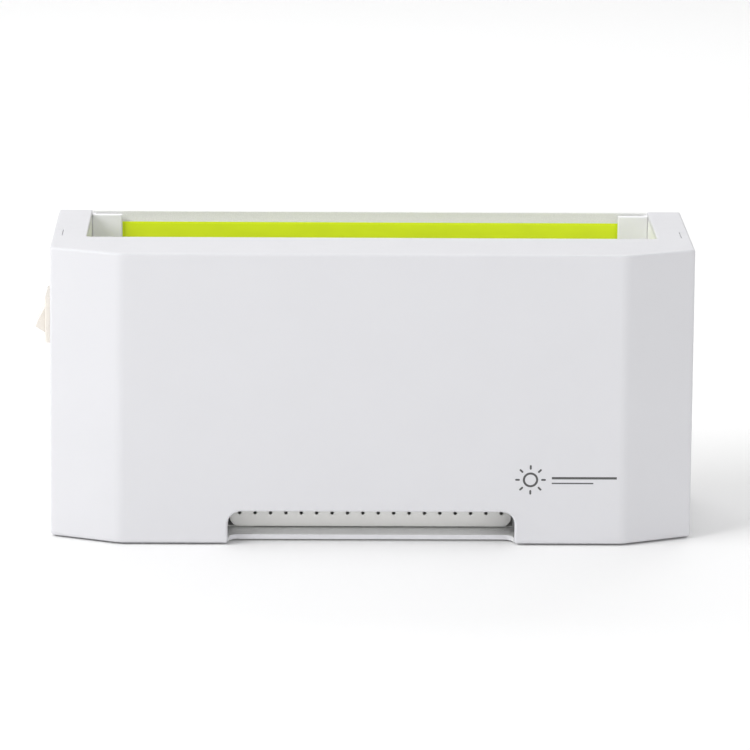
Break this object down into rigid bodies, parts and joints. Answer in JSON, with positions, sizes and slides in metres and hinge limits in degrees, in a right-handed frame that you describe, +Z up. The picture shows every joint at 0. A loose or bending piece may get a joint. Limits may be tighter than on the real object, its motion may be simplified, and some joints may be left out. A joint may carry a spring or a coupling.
{
  "type": "insect light trap",
  "caption": "White counter-top or wall-hung insect light trap with an open top, lift-out yellow-green glue board, pull-out catch tray and side rocker switch.",
  "frame": {"origin": "middle of the footprint at the underside of the feet, without the switch that stands out on the left", "axes": "+X to the viewer's right along the front, +Y from the front face to the back wall, +Z up"},
  "size_m": [0.3092, 0.0901, 0.1408],
  "materials": {
    "shell_white": "fine satin moulded plastic",
    "case_white": "leather-grained moulded plastic",
    "liner_white": "satin moulded plastic",
    "guide_white": "satin moulded plastic",
    "board_card": "coated yellow-green card with a pale cut edge",
    "glue_film": "wet-looking clear glue film",
    "tray_white": "satin moulded plastic",
    "circuit_white": "white solder mask",
    "led_clear": "clear dome on a pale package",
    "reflector_white": "polished white",
    "diffuser_milky": "milky ribbed diffuser",
    "circuit_green": "green solder mask",
    "component_black": "moulded epoxy and ferrite",
    "capacitor_sleeve": "shrunk sleeve",
    "terminal_green": "moulded plastic",
    "switch_ivory": "ivory moulded plastic",
    "rocker_ivory": "ivory moulded plastic",
    "contact_metal": "tinned brass",
    "inlet_black": "moulded plastic",
    "nut_metal": "nickel plated",
    "foot_rubber": "moulded rubber",
    "screw_steel": "zinc plated",
    "wire_red": "insulated wire",
    "wire_black": "insulated wire",
    "clip_white": "moulded plastic",
    "print_grey": "screen-printed ink"
  },
  "bodies": {
    "housing": {"housing_shell": "shell_white", "front_mark": "print_grey", "rear_case": "case_white", "inner_liner": "liner_white", "sheet_guide_left": "guide_white", "sheet_guide_right": "guide_white", "tray_rails": "case_white", "light_housing": "liner_white", "led_board": "circuit_white", "uv_leds": "led_clear", "reflector": "reflector_white", "diffuser_lens": "diffuser_milky", "driver_board": "circuit_green", "driver_inductor": "component_black", "driver_capacitors": "capacitor_sleeve", "driver_chips": "component_black", "terminal_block": "terminal_green", "switch_body": "switch_ivory", "switch_contacts": "contact_metal", "power_inlet": "inlet_black", "inlet_contacts": "contact_metal", "inlet_nut": "nut_metal", "rubber_feet": "foot_rubber", "rear_screws": "screw_steel", "liner_screws": "screw_steel", "light_screws": "screw_steel", "driver_screws": "screw_steel", "wire_inlet_switch": "wire_red", "wire_switch_driver": "wire_red", "wire_inlet_driver": "wire_black", "wire_led_feed_a": "wire_red", "wire_led_feed_b": "wire_black", "wire_clips": "clip_white"},
    "glue_board": {"glue_board": "board_card", "adhesive_layer": "glue_film"},
    "catch_tray": {"catch_tray": "tray_white"},
    "switch_rocker": {"switch_rocker": "rocker_ivory"}
  },
  "joints": [
    {"name": "glue_board_lift", "type": "slide", "parent": "housing", "child": "glue_board", "axis": [0, 0, 1], "range_m": [0, 0.13]},
    {"name": "catch_tray_pull", "type": "slide", "parent": "housing", "child": "catch_tray", "axis": [0, -1, 0], "range_m": [0, 0.085]},
    {"name": "switch_rocker_tilt", "type": "hinge", "parent": "housing", "child": "switch_rocker", "pos_m": [-0.1501, -0.0155, 0.1044], "axis": [0, -1, 0], "range_deg": [0, 54]}
  ]
}
